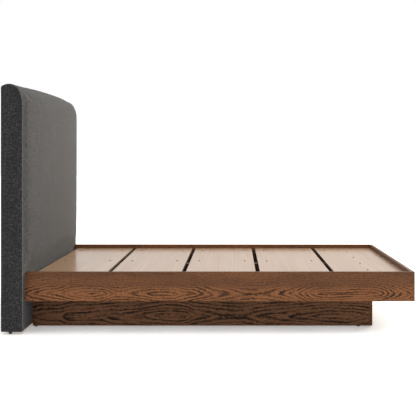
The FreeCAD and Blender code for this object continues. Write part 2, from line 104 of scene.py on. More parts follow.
class Sock:
    """A value socket inside an expression; its operators add Math nodes."""

    __add__, __radd__ = math_method("ADD"), math_method("ADD", True)
    __sub__, __rsub__ = math_method("SUBTRACT"), math_method("SUBTRACT", True)
    __mul__, __rmul__ = math_method("MULTIPLY"), math_method("MULTIPLY", True)
    __truediv__, __pow__ = math_method("DIVIDE"), math_method("POWER")
    __abs__, fraction, sine = map(math_method, ("ABSOLUTE", "FRACT", "SINE"))

    def __init__(self, wiring: "Wiring", socket: bpy.types.NodeSocket) -> None:
        """Keeps the socket and the wiring it belongs to."""
        self.wiring = wiring
        self.socket = socket

    def swing(self, most: Number) -> "Sock":
        """A value from 0 to 1 as a swing about 0: (value - 0.5) * most."""
        return (self - 0.5) * most

    def step(self, low: Number, high: Number) -> "Sock":
        """0 below low, 1 above high and a smooth rise between; low above high turns it round.

        Args:
            low: where the rise begins.
            high: where it ends.

        Returns:
            The smooth step of this value.
        """
        ends = (low, high, 0.0, 1.0) if low < high else (high, low, 1.0, 0.0)
        names = ("From Min", "From Max", "To Min", "To Max")
        node = self.wiring.node(
            "ShaderNodeMapRange", {"interpolation_type": "SMOOTHSTEP"},
            {"Value": self, **dict(zip(names, ends))},
        )
        return Sock(self.wiring, node.outputs["Result"])


Term = Union[Sock, Number]


class Wiring:
    """One material's node tree around a Principled shader."""

    def __init__(self, name: str) -> None:
        """Makes the empty material with its shader and output.

        Args:
            name: the material's name.
        """
        self.material = bpy.data.materials.new(name)
        self.material.use_nodes = True
        self.tree = self.material.node_tree
        self.tree.nodes.clear()
        self.shader = self.node("ShaderNodeBsdfPrincipled")
        output = self.node("ShaderNodeOutputMaterial")
        self.tree.links.new(self.shader.outputs["BSDF"], output.inputs["Surface"])

    def node(self, kind: str, settings: dict | None = None, inputs: dict | None = None) -> bpy.types.Node:
        """Adds any node: its settings first, then its sockets' values or links.

        Args:
            kind: the node's type.
            settings: property names and values; the key "points" fills a float curve.
            inputs: socket names or numbers, and the values or Socks they take.

        Returns:
            The new node.
        """
        node = self.tree.nodes.new(kind)
        for name, value in (settings or {}).items():
            if name == "points":
                curve = node.mapping.curves[0]
                for _ in range(len(value) - len(curve.points)):
                    curve.points.new(0.5, 0.5)
                for point, place in zip(curve.points, value):
                    point.location = place
                node.mapping.update()
            else:
                setattr(node, name, value)
        for name, value in (inputs or {}).items():
            self.feed(node.inputs[name], value)
        return node

    def feed(self, socket: bpy.types.NodeSocket, value: object) -> None:
        """Links a Sock to a socket, or sets the socket's own value."""
        if isinstance(value, Sock):
            self.tree.links.new(value.socket, socket)
        else:
            socket.default_value = value

    def math(self, operation: str, first: Term, second: Term = 0.0) -> Sock:
        """A Math node on one or two values."""
        node = self.node("ShaderNodeMath", {"operation": operation}, {0: first, 1: second})
        return Sock(self, node.outputs[0])

    def split(self, vector: bpy.types.NodeSocket, order: Sequence[int]) -> tuple[Sock, ...]:
        """A vector socket's parts, in the order of the axis numbers."""
        node = self.node("ShaderNodeSeparateXYZ", None, {0: Sock(self, vector)})
        return tuple(Sock(self, node.outputs[number]) for number in order)

    def place(self, order: Sequence[int] = (0, 1, 2)) -> tuple[Sock, ...]:
        """Object coordinates in metres, in the order of the axis numbers."""
        return self.split(self.node("ShaderNodeTexCoord").outputs["Object"], order)

    def cloth_place(self) -> tuple[Sock, ...]:
        """Places on the cloth in metres, in its two directions."""
        return self.split(self.node("ShaderNodeUVMap", {"uv_map": CLOTH_MAP}).outputs["UV"], (0, 1))

    def mix(self, factor: Term, first: object, second: object) -> Sock:
        """Blends two colours by a factor.

        Args:
            factor: 0 gives the first, 1 the second.
            first: a colour or a Sock.
            second: a colour or a Sock.

        Returns:
            The blended colour.
        """
        node = self.node("ShaderNodeMix", {"data_type": "RGBA"})
        sockets = {socket.identifier: socket for socket in (*node.inputs, *node.outputs)}
        for name, value in (("Factor_Float", factor), ("A_Color", first), ("B_Color", second)):
            self.feed(sockets[name], value)
        return Sock(self, sockets["Result_Color"])

    def finish(self, colour: object, rough: Term, height: Term | None = None, depth: Number = 0.001,
               **constants: object) -> Material:
        """Feeds the shader and hands the material over.

        Args:
            colour: base colour, a Sock or a colour.
            rough: roughness.
            height: relief from 0 to 1, if the surface has any.
            depth: the relief's depth in metres.
            constants: more of the shader's sockets, such as sheen_weight, kept as plain values.

        Returns:
            The material.
        """
        self.feed(self.shader.inputs["Base Color"], colour)
        self.feed(self.shader.inputs["Roughness"], rough)
        for name, value in constants.items():
            self.shader.inputs[name.replace("_", " ").title().replace("Ior", "IOR")].default_value = value
        if height is not None:
            bump = self.node("ShaderNodeBump", None, {"Strength": 1.0, "Distance": depth, "Height": height})
            self.tree.links.new(bump.outputs["Normal"], self.shader.inputs["Normal"])
        return self.material


@dataclass(frozen=True)
class Clouds:
    """A noise pattern, by how many clouds fit in one unit each way."""

    along: float
    across: float = 0.0
    through: float = 0.0
    detail: float = 1.0  # octaves
    rough: float = 0.5  # how strong the finer octaves are

    def at(self, w: Wiring, *place: Term) -> Sock:
        """The noise at a place, from 0 to 1.

        Args:
            w: the wiring it is added to.
            place: three values; a plain number among them is a seed and isn't scaled.

        Returns:
            The noise value.
        """
        scales = (self.along, self.across, self.through)
        scaled = [value * scale if isinstance(value, Sock) else value for value, scale in zip(place, scales)]
        where = Sock(w, w.node("ShaderNodeCombineXYZ", None, dict(enumerate(scaled))).outputs[0])
        inputs = {"Vector": where, "Scale": 1.0, "Detail": self.detail, "Roughness": self.rough}
        return Sock(w, w.node("ShaderNodeTexNoise", None, inputs).outputs[0])


# ---------------------------------------------------------------- finishes

class Grain(Enum):
    """Which way a board's grain runs; the value orders X, Y, Z as along, across, through."""

    ALONG_X = (0, 2, 1)
    ALONG_Y = (1, 2, 0)
    ALONG_Z = (2, 0, 1)


Figure = tuple[tuple[float, float], ...]

# How many rings lie between the cut and the tree's heart, by share of the board's length.
RAIL_FIGURE: Figure = (
    (0.0, 5.8), (0.017, 5.0), (0.054, 4.0), (0.094, 3.0), (0.120, 2.0), (0.145, 1.2), (0.176, 0.9),
    (0.201, 1.4), (0.227, 2.7), (0.247, 3.15), (0.258, 3.0), (0.307, 2.0), (0.358, 1.2), (0.396, 2.0),
    (0.435, 3.0), (0.458, 4.0), (0.491, 5.0), (0.532, 6.0), (0.585, 6.8), (0.643, 6.0), (0.678, 5.0),
    (0.699, 4.0), (0.715, 3.0), (0.730, 2.0), (0.750, 1.0), (0.800, 0.45), (0.862, 0.3), (0.903, 0.8),
    (0.911, 1.2), (0.924, 2.0), (0.937, 3.0), (0.952, 4.0), (0.970, 5.0), (1.0, 6.2),
)
PLINTH_FIGURE: Figure = (
    (0.0, 5.2), (0.025, 4.6), (0.078, 4.2), (0.088, 4.0), (0.113, 3.5), (0.187, 3.25), (0.212, 3.0),
    (0.237, 2.5), (0.290, 2.2), (0.304, 2.0), (0.328, 1.6), (0.363, 1.0), (0.408, 0.6), (0.446, 1.0),
    (0.467, 2.0), (0.517, 3.0), (0.599, 3.8), (0.666, 3.0), (0.690, 2.6), (0.757, 2.0), (0.790, 1.5),
    (0.828, 1.0), (0.908, 0.3), (0.961, 1.0), (1.0, 2.0),
)


@dataclass(frozen=True)
class StainedVeneer:
    """Brown-stained oak veneer, plain sliced, with one row of cathedrals along the board."""

    name: str
    grain: Grain
    heart: float  # height of the cathedrals' middle line, m
    start: float  # where the figure starts along the board, m
    length: float  # how far it runs; negative turns it end for end, m
    figure: Figure = RAIL_FIGURE
    ring: float = 0.0064  # growth ring where it is cut square, m
    spread: float = 0.55  # how much the slanting cut widens the rings across the board
    arch: float = 1.4  # the power that makes the arches pointed
    stray: float = 0.014  # how far the heart line strays, m
    jag: float = 0.60  # how ragged the lines are, in rings
    bulge: float = 1.2  # how far they bulge over a longer stretch, in rings
    slope: float = 60.0  # rings for each metre through the board
    line: float = 0.42  # strength of the dark lines at the heart, over that of the faint ones
    faint: float = 0.22  # strength of the faint lines far above it
    band: tuple[float, float] = (0.050, 0.016)  # above the heart, where the lines grow faint, m
    seed: float = 0.0
    light: Colour = stain(142, 93, 60)
    body: Colour = stain(102, 69, 48)
    dark: Colour = stain(51, 35, 26)
    roughness: float = 0.42
    relief: float = 0.00022  # m
    straying: Clouds = Clouds(3.0, detail=0.0)
    ragged: Clouds = Clouds(46.0, 120.0)
    bulging: Clouds = Clouds(9.0, 34.0)
    yearly: Clouds = Clouds(0.43, detail=0.0)  # read by the count of rings
    streaks: Clouds = Clouds(5.0, 330.0, 330.0, 3.0, 0.65)
    specks: Clouds = Clouds(80.0, 170.0, 170.0, 2.0, 0.8)
    pores: Clouds = Clouds(70.0, 1500.0, 1500.0)
    drifts: Clouds = Clouds(3.0, 14.0)
    patches: Clouds = Clouds(8.0, 26.0)

    def material(self) -> Material:
        """Rings are level lines of a distance to a heart line that dips in and out of the cut.

        rings = ((spread * |across - heart| / ring)^arch + depth^arch)^(1/arch), where the depth in
        rings follows the figure along the board. Above the row of cathedrals the lines run
        straight, fine and faint, and slow patches make them stronger and weaker.
        """
        w = Wiring(self.name)
        along, across, through = board = w.place(self.grain.value)
        share = (along - self.start) / self.length
        most = max(depth for _, depth in self.figure)
        points = [(place, depth / most) for place, depth in self.figure]
        curve = w.node("ShaderNodeFloatCurve", {"points": points}, {"Value": share})
        depth = Sock(w, curve.outputs[0]) * most
        offset = across - self.heart - self.straying.at(w, along, self.seed, 0.0).swing(self.stray)
        spread = abs(offset) * (self.spread / self.ring)
        distance = (spread ** self.arch + depth ** self.arch) ** (1 / self.arch)
        jag = self.ragged.at(w, along, across, self.seed).swing(self.jag)
        bulge = self.bulging.at(w, along, across, self.seed).swing(self.bulge)
        count = distance + jag + bulge + through * self.slope
        phase = count.fraction()
        year = self.yearly.at(w, count, self.seed, 3.0)
        late = phase.step(0.30, 0.82) * phase.step(1.0, 0.90)
        low_band = offset.step(*self.band)
        streak, speck = self.streaks.at(w, *board), self.specks.at(w, *board)
        pore = self.pores.at(w, *board).step(0.58, 0.72)
        drift = self.drifts.at(w, along, across, self.seed + 2.0)
        warm = low_band * 0.58 + streak.swing(1.3) + drift.swing(0.9) + 0.20
        ground = w.mix(warm.step(-0.1, 1.0), self.body, self.light)
        patch = self.patches.at(w, along, across, self.seed + 5.0).step(0.38, 0.66)
        strong = (self.faint + low_band * self.line) * (0.40 + year * 1.1) * (0.55 + patch)
        figure = late * strong + speck.swing(1.8) + streak.swing(0.9)
        lined = w.mix(figure.step(-0.35, 0.85), ground, self.dark)
        pored = w.mix(pore * 0.35, lined, self.dark)
        rough = self.roughness + late * 0.10 + speck.swing(0.12)
        relief = 1.0 - pore * 0.8 - late * 0.35
        return w.finish(pored, rough, relief, self.relief, specular_ior_level=0.06)


@dataclass(frozen=True)
class DeckPlywood:
    """Pale lacquered plywood whose face grain runs along the panel, across the bed."""

    name: str = "deck_plywood"
    pale: Colour = stain(157, 129, 103)
    tan: Colour = stain(146, 118, 93)
    # ply: dark tone of the ply layers and the flecks; on the cut edges it is also the painted shade in the
    # gaps between panels.
    ply: Colour = stain(52, 36, 24)
    layer: float = 0.003  # thickness of one ply, m
    face: tuple[float, float] = (-0.0020, -0.0030)  # below the top, where the cut edge and its painted shade begin, m
    bend: float = 0.025  # how far the grain bends, m
    roughness: float = 0.24
    relief: float = 0.00001  # m
    bending: Clouds = Clouds(1.1, 2.0)
    streaks: Clouds = Clouds(0.8, 88.0, 30.0, 2.0, 0.6)
    drifts: Clouds = Clouds(0.8, 14.0, detail=2.0)
    flecks: Clouds = Clouds(70.0, 1100.0, 600.0)

    def material(self) -> Material:
        """Long cloudy streaks of two tans, broad drifts over them, and ply layers on the edges, darkened
        there as painted shade in the gaps between panels.
        """
        w = Wiring(self.name)
        x, y, z = w.place()
        line = y + self.bending.at(w, x, y, 0.0).swing(self.bend)
        streak = self.streaks.at(w, x, line, z)
        drift = self.drifts.at(w, x, line, 0.0)
        fleck = self.flecks.at(w, x, line, z).step(0.60, 0.74)
        tone = streak * 0.75 + drift * 0.25
        face = w.mix(tone.step(0.30, 0.70), self.pale, self.tan)
        flecked = w.mix(fleck * 0.16, face, self.ply)
        height = z - DECK_TOP
        edge = height.step(*self.face)
        shade = (height / self.layer).fraction().step(0.42, 0.58) * edge
        # Painted shade: the cut edges go dark below the top, as the gaps between panels are in shade; the
        # ply layers show through it.
        gap_shaded = w.mix(edge * 0.65 + shade * 0.3, flecked, self.ply)
        rough = self.roughness + drift.swing(0.10) + edge * 0.35
        return w.finish(gap_shaded, rough, streak * 0.6 - fleck * 0.4, self.relief, coat_weight=0.10,
                        coat_roughness=0.12, specular_ior_level=0.10)


@dataclass(frozen=True)
class PlainTimber:
    """Unstained softwood, plywood or hardboard for the parts that hardly show."""

    name: str
    grain: Grain
    light: Colour
    dark: Colour
    ring: float = 0.009
    seed: float = 0.0
    contrast: float = 0.55
    sway: float = 0.05  # how far the rings stray, m
    tilt: float = 0.35  # how far they lean through the board
    swaying: Clouds = Clouds(1.6, 6.0, detail=2.0)
    fibres: Clouds = Clouds(9.0, 500.0, 500.0, 2.0)
    knots: Clouds = Clouds(3.0, 12.0, 12.0, 2.0)

    def material(self) -> Material:
        """Straight rings that sway slowly, with fibre streaks between them."""
        w = Wiring(self.name)
        along, across, through = board = w.place(self.grain.value)
        sway = self.swaying.at(w, along, across, self.seed).swing(self.sway)
        phase = ((across + through * self.tilt + sway) / self.ring).fraction()
        late = phase ** 2.5 - phase.step(0.92, 1.0)
        fibre, knot = self.fibres.at(w, *board), self.knots.at(w, *board)
        tone = late * self.contrast + fibre.swing(0.5) + knot.step(0.68, 0.80) * 0.5
        colour = w.mix(tone.step(0.0, 1.0), self.light, self.dark)
        return w.finish(colour, 0.62 + fibre.swing(0.2), fibre, 0.00015)


@dataclass(frozen=True)
class HeatherCloth:
    """Charcoal upholstery: a plain weave of flecked grey yarns, read from places on the cloth."""

    name: str = "charcoal_cloth"
    yarn: float = 0.0022  # m
    dark: Colour = stain(22, 23, 25)
    middle: Colour = stain(45, 45, 46)
    light: Colour = stain(80, 78, 76)
    slubs: Clouds = Clouds(28.0, 130.0, detail=2.0, rough=0.7)  # thick places in the yarn
    waves: Clouds = Clouds(60.0, 60.0)
    warp_flecks: Clouds = Clouds(520.0, 110.0, detail=2.0, rough=0.7)
    weft_flecks: Clouds = Clouds(110.0, 520.0, detail=2.0, rough=0.7)
    blotches: Clouds = Clouds(230.0, 180.0, detail=2.0, rough=0.8)
    drifts: Clouds = Clouds(14.0, 4.0)
    fuzz: Clouds = Clouds(900.0, 900.0, detail=2.0, rough=0.7)

    def material(self) -> Material:
        """Warp and weft are rows of rounded ridges that take turns on top, like a basket.

        Each yarn keeps one fleck tone for a few centimetres and the next differs, which gives the
        heather; a slow drift over it is the dye. The ridges are the relief.
        """
        w = Wiring(self.name)
        u, v = w.cloth_place()
        wave = self.waves.at(w, u, v, 0.0).swing(self.yarn * 1.4)
        warp, weft = ((place / self.yarn * math.pi).sine() for place in (u + wave, v - wave))
        turn = (warp * weft).step(-0.35, 0.35)
        ridge = abs(warp) * turn + abs(weft) * (1 - turn)
        fleck = self.warp_flecks.at(w, u, v, 1.3) * turn + self.weft_flecks.at(w, u, v, 6.1) * (1 - turn)
        blotch = self.blotches.at(w, u, v, 3.7)
        slub = self.slubs.at(w, u, v, 5.2)
        drift = self.drifts.at(w, u, v, 9.0)
        tone = fleck * 0.26 + blotch * 0.39 + slub * 0.29 + drift * 0.06
        low = w.mix(tone.step(0.38, 0.52), self.dark, self.middle)
        high = w.mix(tone.step(0.50, 0.62), low, self.light)
        shaded = w.mix((1 - ridge) * 0.35, high, self.dark)
        relief = ridge * 0.8 + self.fuzz.at(w, u, v, 0.0) * 0.2
        return w.finish(shaded, 0.92, relief, 0.0005, sheen_weight=0.12, sheen_roughness=0.5,
                        specular_ior_level=0.1)


@dataclass(frozen=True)
class PlainMetal:
    """Turned or pressed metal with fine tool marks and a little tarnish."""

    name: str
    bright: Colour
    dull: Colour
    metallic: float = 1.0
    roughness: float = 0.34
    tarnish: Clouds = Clouds(420.0, 420.0, 420.0, 3.0, 0.6)
    scratches: Clouds = Clouds(2600.0, 500.0, 900.0, 2.0)

    def material(self) -> Material:
        """Cloudy tarnish mixes the two tones; fine scratches vary the roughness."""
        w = Wiring(self.name)
        place = w.place()
        cloud, scratch = self.tarnish.at(w, *place), self.scratches.at(w, *place)
        colour = w.mix(cloud.step(0.38, 0.66), self.bright, self.dull)
        rough = self.roughness + cloud.swing(0.3) + scratch.swing(0.12)
        return w.finish(colour, rough, scratch, 0.00003, metallic=self.metallic)


@dataclass(frozen=True)
class MouldedNylon:
    """Black moulded plastic with a fine spark-eroded grain."""

    name: str = "black_nylon"
    tone: Colour = stain(38, 38, 39)
    scuff: Colour = stain(70, 69, 67)
    pits: Clouds = Clouds(2400.0, 2400.0, 2400.0, 2.0, 0.6)
    wear: Clouds = Clouds(260.0, 260.0, 260.0, 3.0, 0.6)

    def material(self) -> Material:
        """Fine grain as relief, with pale scuffs where a slow noise peaks."""
        w = Wiring(self.name)
        place = w.place()
        wear = self.wear.at(w, *place)
        colour = w.mix(wear.step(0.58, 0.75) * 0.5, self.tone, self.scuff)
        return w.finish(colour, 0.5 + wear.swing(0.25), self.pits.at(w, *place), 0.00006)


# ---------------------------------------------------------------- mesh helpers

def add_piece(name: str, data: bpy.types.ID) -> Piece:
    """A new object in the scene, at the origin."""
    piece = bpy.data.objects.new(name, data)
    bpy.context.scene.collection.objects.link(piece)
    return piece


def mesh_piece(name: str, points: Array, faces: Array, uv: Array | None = None) -> Piece:
    """A smooth-shaded mesh object from whole arrays.

    Args:
        name: the piece's name.
        points: count by 3, in metres.
        faces: count by 3 or 4 corner numbers, anticlockwise from outside.
        uv: count by 2, each point's place on the cloth in metres.

    Returns:
        The new object, at the origin and in the scene.
    """
    mesh = bpy.data.meshes.new(name)
    mesh.from_pydata(points.tolist(), [], faces.tolist())
    mesh.update()
    if uv is not None:
        layer = mesh.uv_layers.new(name=CLOTH_MAP)
        corners = np.zeros(len(mesh.loops), dtype=np.int32)
        mesh.loops.foreach_get("vertex_index", corners)
        layer.data.foreach_set("uv", uv[corners].astype(np.float32).ravel())
    mesh.polygons.foreach_set("use_smooth", np.ones(len(mesh.polygons), dtype=bool))
    log.info("%s: %d points", name, len(points))
    return add_piece(name, mesh)


def grid_points(*parts: Array | float) -> Array:
    """Coordinates of one shape, or plain numbers, as count by 2 or 3 in row order."""
    return np.stack(np.broadcast_arrays(*parts), axis=-1).reshape(-1, len(parts))


def in_rows(values: Array, columns: int) -> Array:
    """One value for each row, repeated across the columns."""
    return np.repeat(values[:, None], columns, axis=1)


def grid_quads(rows: int, columns: int, start: int = 0, flip: bool = False) -> Array:
    """The quads of a grid whose points are numbered row by row.

    Args:
        rows: points up.
        columns: points across.
        start: the first point's number.
        flip: turns every face over.

    Returns:
        Count by 4 corner numbers.
    """
    index = start + np.arange(rows * columns).reshape(rows, columns)
    quads = np.stack([index[:-1, :-1], index[:-1, 1:], index[1:, 1:], index[1:, :-1]], axis=-1)
    quads = quads.reshape(-1, 4)
    return quads[:, ::-1] if flip else quads


def closed_quads(rows: int, columns: int) -> Array:
    """The quads of two grids of one shape, back to back and joined by a band round their rims.

    Args:
        rows: points up.
        columns: points across.

    Returns:
        Count by 4 corner numbers; the outer grid's points come first.
    """
    count = rows * columns
    index = np.arange(count).reshape(rows, columns)
    rim = np.concatenate([index[0, :-1], index[:-1, -1], index[-1, :0:-1], index[:0:-1, 0]])
    following = np.roll(rim, -1)
    band = np.stack([rim, rim + count, following + count, following], axis=-1)
    return np.concatenate([grid_quads(rows, columns), grid_quads(rows, columns, count, True), band])


def closed_pad(name: str, shape: tuple[int, int], outer: Array, inner: Array,
               uv: Array, flip: bool = False) -> Piece:
    """A closed form from an outer and an inner grid of the same shape, joined round their rims.

    Args:
        name: the piece's name.
        shape: rows and columns of either grid.
        outer: count by 3, the side that shows.
        inner: count by 3, the side against the core.
        uv: count by 2, in metres, shared by both sides.
        flip: turns every face over.

    Returns:
        The new object; its outer points come first.
    """
    faces = closed_quads(*shape)
    return mesh_piece(name, np.concatenate([outer, inner]), faces[:, ::-1] if flip else faces,
                      np.concatenate([uv, uv]))


def coordinates(mesh: bpy.types.Mesh) -> Array:
    """A mesh's points as a count by 3 array."""
    points = np.zeros(len(mesh.vertices) * 3, dtype=np.float32)
    mesh.vertices.foreach_get("co", points)
    return points.reshape(-1, 3).astype(float)


@dataclass(frozen=True)
class Stuffing:
    """How a pad is blown up by the cloth solver."""

    pressure: float = 4.0
    cap: float = 0.009  # furthest a point may move, m
    slack: float = 0.006  # how much longer the cloth is cut than its pattern, as a share
    frames: int = 20
    quality: int = 5  # solver steps in a frame
    mass: float = 0.25  # of one point, kg
    bend: float = 0.6
    stretch: float = 12.0
    shear: float = 6.0

    def fill(self, piece: Piece, held: Array) -> None:
        """Runs the solver on a pad and keeps the result in its mesh.

        A move of m is kept as cap * tanh(m / cap), so nothing goes past the cap and the
        wrinkles below it stay.

        Args:
            piece: the pad.
            held: for each point, 1 where it is sewn or glued down and 0 where it is free.
        """
        group = piece.vertex_groups.new(name="held")
        levels = np.round(held, 2)
        for level in np.unique(levels[levels > 0]):
            group.add(np.nonzero(levels == level)[0].tolist(), float(level), "REPLACE")
        rest = coordinates(piece.data)
        cloth = piece.modifiers.new("stuffing", "CLOTH")
        setup = cloth.settings
        setup.quality = self.quality
        setup.mass = self.mass
        setup.tension_stiffness = setup.compression_stiffness = self.stretch
        setup.shear_stiffness = self.shear
        setup.bending_stiffness = self.bend
        setup.use_pressure = True
        setup.uniform_pressure_force = self.pressure
        setup.shrink_min = -self.slack
        setup.vertex_group_mass = group.name
        setup.effector_weights.gravity = 0.0
        cloth.collision_settings.use_collision = False
        cloth.point_cache.frame_start, cloth.point_cache.frame_end = 1, self.frames
        scene = bpy.context.scene
        for number in range(1, self.frames + 1):
            scene.frame_set(number)
        graph = bpy.context.evaluated_depsgraph_get()
        settled = coordinates(piece.evaluated_get(graph).data)
        piece.modifiers.remove(cloth)
        scene.frame_set(1)
        move = settled - rest
        size = np.linalg.norm(move, axis=1)[:, None] + 1e-9
        kept = rest + move / size * (self.cap * np.tanh(size / self.cap))
        piece.data.vertices.foreach_set("co", kept.astype(np.float32).ravel())
        piece.data.update()
        log.info("%s settled: middle move %.1f mm, most %.1f mm", piece.name,
                 1000 * float(np.median(size)), 1000 * float(size.max()))


def dress(piece: Piece, material: Material) -> None:
    """Gives a piece one material in place of what it had."""
    piece.data.materials.clear()
    piece.data.materials.append(material)


def dress_nodes(finishes: dict[object, Sequence[str]]) -> int:
    """Gives nodes of the frame their finishes.

    Args:
        finishes: for each finish, the nodes that wear it.

    Returns:
        How many nodes were dressed.
    """
    for finish, nodes in finishes.items():
        material = finish.material()
        for node in nodes:
            dress(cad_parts[node], material)
    return sum(map(len, finishes.values()))


def both_sides(*stems: str) -> tuple[str, ...]:
    """The left and the right node of each stem."""
    return tuple(stem + side for stem in stems for side in SIDES.values())


def smooth_rise(value: Array, low: float, high: float) -> Array:
    """0 below low and 1 above high, with 3t^2 - 2t^3 between."""
    t = np.clip((value - low) / (high - low), 0.0, 1.0)
    return t * t * (3.0 - 2.0 * t)


def near(distance: Array, reach: float) -> Array:
    """1 at no distance, falling smoothly to 0 at the reach."""
    return 1.0 - smooth_rise(distance, 0.0, reach)


def even_steps(stops: Sequence[float], pitches: Sequence[float]) -> Array:
    """Places along a line, each stretch between two stops divided by its own pitch.

    Args:
        stops: the ends of the stretches, rising.
        pitches: the wanted distance in each stretch.

    Returns:
        All the places, both ends included.
    """
    runs = [
        np.linspace(low, high, max(2, int(round((high - low) / pitch)) + 1))[:-1]
        for low, high, pitch in zip(stops[:-1], stops[1:], pitches)
    ]
    return np.concatenate(runs + [np.array([stops[-1]])])


# ---------------------------------------------------------------- sub-assemblies

@dataclass(frozen=True)
class Fold:
    """One soft pull in the front cover, rising from where it is tucked behind the deck."""

    place: float  # where it starts across the width, m
    lean: float  # how far it leans sideways for each metre it rises
    reach: float  # the height over which it fades, m
    wide: float  # half its width where it starts, m
    deep: float  # how far it stands out there, m

    def lift(self, across: Array, rise: Array) -> Array:
        """deep * exp(-(offset / (wide * (1 + 4 * rise)))^2 - rise / reach), and 0 under the deck."""
        offset = (across - self.place - self.lean * rise) / (self.wide * (1.0 + rise * 4.0))
        fade = np.exp(-np.clip(rise, 0.0, None) / self.reach) * smooth_rise(rise, -0.01, 0.02)
        return self.deep * np.exp(-offset ** 2) * fade


@dataclass
class Headboard:
    """The upholstery round the headboard's timber core; all sizes are in metres."""

    rise: float = 0.007  # how far the padded top stands over the core's own top
    corner_top: float = 0.070  # radius of the top edge's upper round
    corner_face: float = 0.250  # radius of the long easing into the face
    corner_turn: float = math.radians(75.0)  # where the first round hands over to the second
    back_round: float = 0.016  # radius of the top edge at the back
    back_hem: float = 0.05  # how far down the back the front pad reaches
    back_proud: float = 0.0035  # how far the back cover lies off its board
    back_thick: float = 0.002
    back_ease: float = 0.0004  # how much nearer the cover's own middle lies
    back_turn: float = 0.003  # how far its edges turn in
    back_ripple: float = 0.0006
    foot_round: float = 0.012  # radius at the foot of the side panels
    side_thick: float = 0.008  # of the side panels
    side_puff: float = 0.002  # how far they stand out at their fullest
    side_roll: float = 0.011  # over which their back and foot edges turn in
    side_pitch: float = 0.003  # of the outline they follow
    side_rows: int = 96
    side_columns: int = 24
    crown: float = 0.037  # how far the face stands out at its fullest
    crown_top: float = 0.0065  # how far the top does
    deck: float = DECK_TOP
    seam_dip: float = 0.004
    seam_wide: float = 0.007
    seam_radius: float = 0.0021
    seam_pitch: float = 0.012  # along the seam roll
    seam_sectors: int = 8
    seam_in: float = 0.001  # how far inside the side panels the front pad ends
    fill_depth: float = 0.020  # of the front pad behind its pattern
    pitch: float = 0.0110  # between the front pad's rows where the folds lie
    column: float = 0.0150  # between its columns
    edge_columns: tuple[float, ...] = (0.0, 0.0018, 0.004, 0.0068, 0.011, 0.017, 0.025)  # from a seam
    edge_wide: float = 0.034  # where the even columns begin
    row_stops: tuple[float, ...] = (0.27, 0.46, 0.62)  # heights where the rows' pitch changes
    row_pitches: tuple[float, ...] = (2.0, 1.0, 1.6, 2.2)  # as shares of the pitch
    cloth: HeatherCloth = HeatherCloth()
    stuffing: Stuffing = Stuffing()
    edge_stuffing: Stuffing = Stuffing(pressure=2.0, cap=0.004, slack=0.01)
    folds: tuple[Fold, ...] = (
        Fold(-0.800, 0.55, 0.055, 0.012, 0.0045),
        Fold(-0.742, 0.90, 0.075, 0.014, 0.0040),
        Fold(-0.655, 0.70, 0.060, 0.016, 0.0030),
        Fold(-0.540, 0.45, 0.050, 0.018, 0.0022),
        Fold(-0.310, 0.20, 0.040, 0.022, 0.0016),
        Fold(0.060, -0.10, 0.035, 0.020, 0.0015),
        Fold(0.350, -0.30, 0.040, 0.022, 0.0018),
        Fold(0.575, -0.50, 0.050, 0.018, 0.0025),
        Fold(0.680, -0.75, 0.065, 0.016, 0.0034),
        Fold(0.765, -0.90, 0.070, 0.013, 0.0042),
        Fold(0.808, -0.45, 0.050, 0.012, 0.0040),
    )

    def __post_init__(self) -> None:
        """Reads the core's box and works out the sizes that follow from it."""
        low, high = (np.array(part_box("headboard_cover_" + side)[end])
                     for side, end in (("left", 0), ("right", 1)))
        spread = self.corner_face - self.corner_top
        self.face = float(low[1])  # the front seams' plane along Y
        self.bottom = float(low[2])
        self.half = float(high[0])  # half the width over the side panels
        self.deep = float(high[1] - low[1]) + self.back_proud
        self.back_top = float(high[2])
        self.top = self.back_top + self.rise
        self.corner_deep = self.corner_face - spread * math.sin(self.corner_turn)  # of the round edge
        self.corner_high = self.corner_top + spread * math.cos(self.corner_turn)  # down from the top

    def outline(self, pitch: float) -> tuple[Array, Array, Array]:
        """The side outline from the foot of the face, over the top, down to the back seam.

        Straight up the face, a long easing arc, a tighter arc to the top, a slight fall to a small
        round, and down the back. Each arc is centre plus radius times (cosine, sine).

        Args:
            pitch: wanted distance between points.

        Returns:
            Points (depth, height), outward normals, and the length along the line.
        """
        turn, small, big = self.corner_turn, self.corner_top, self.corner_face
        face_top = self.top - self.corner_high
        back_centre = (self.deep - self.back_round, self.back_top - self.back_round)

        def arc(centre: Sequence[float], radius: float, begin: float, end: float) -> Array:
            """Evenly spaced points of an arc, up to but not on the end."""
            count = max(5, int(round(abs(end - begin) * radius / pitch * 1.3)))
            angle = begin + (end - begin) * np.arange(count) / count
            return np.array(centre) + radius * grid_points(np.cos(angle), np.sin(angle))

        stops = (self.bottom, *self.row_stops, face_top)
        heights = even_steps(stops, [pitch * share for share in self.row_pitches])[:-1]
        fall = np.linspace(0.0, 1.0, 8)[:-1]
        run = self.deep - self.back_round - self.corner_deep
        pieces = [
            grid_points(0.0, heights),
            arc((big, face_top), big, math.pi, QUARTER + turn),
            arc((self.corner_deep, self.top - small), small, QUARTER + turn, QUARTER),
            grid_points(self.corner_deep + run * fall, self.top - self.rise * fall ** 2),
            arc(back_centre, self.back_round, QUARTER, 0.0),
            grid_points(self.deep, self.back_top - np.linspace(self.back_round, self.back_hem, 5)),
        ]
        line = np.concatenate(pieces)
        tangent = np.gradient(line, axis=0)
        tangent /= np.linalg.norm(tangent, axis=1)[:, None]
        normal = grid_points(-tangent[:, 1], tangent[:, 0])
        steps = np.linalg.norm(np.diff(line, axis=0), axis=1)
        return line, normal, np.concatenate([[0.0], np.cumsum(steps)])

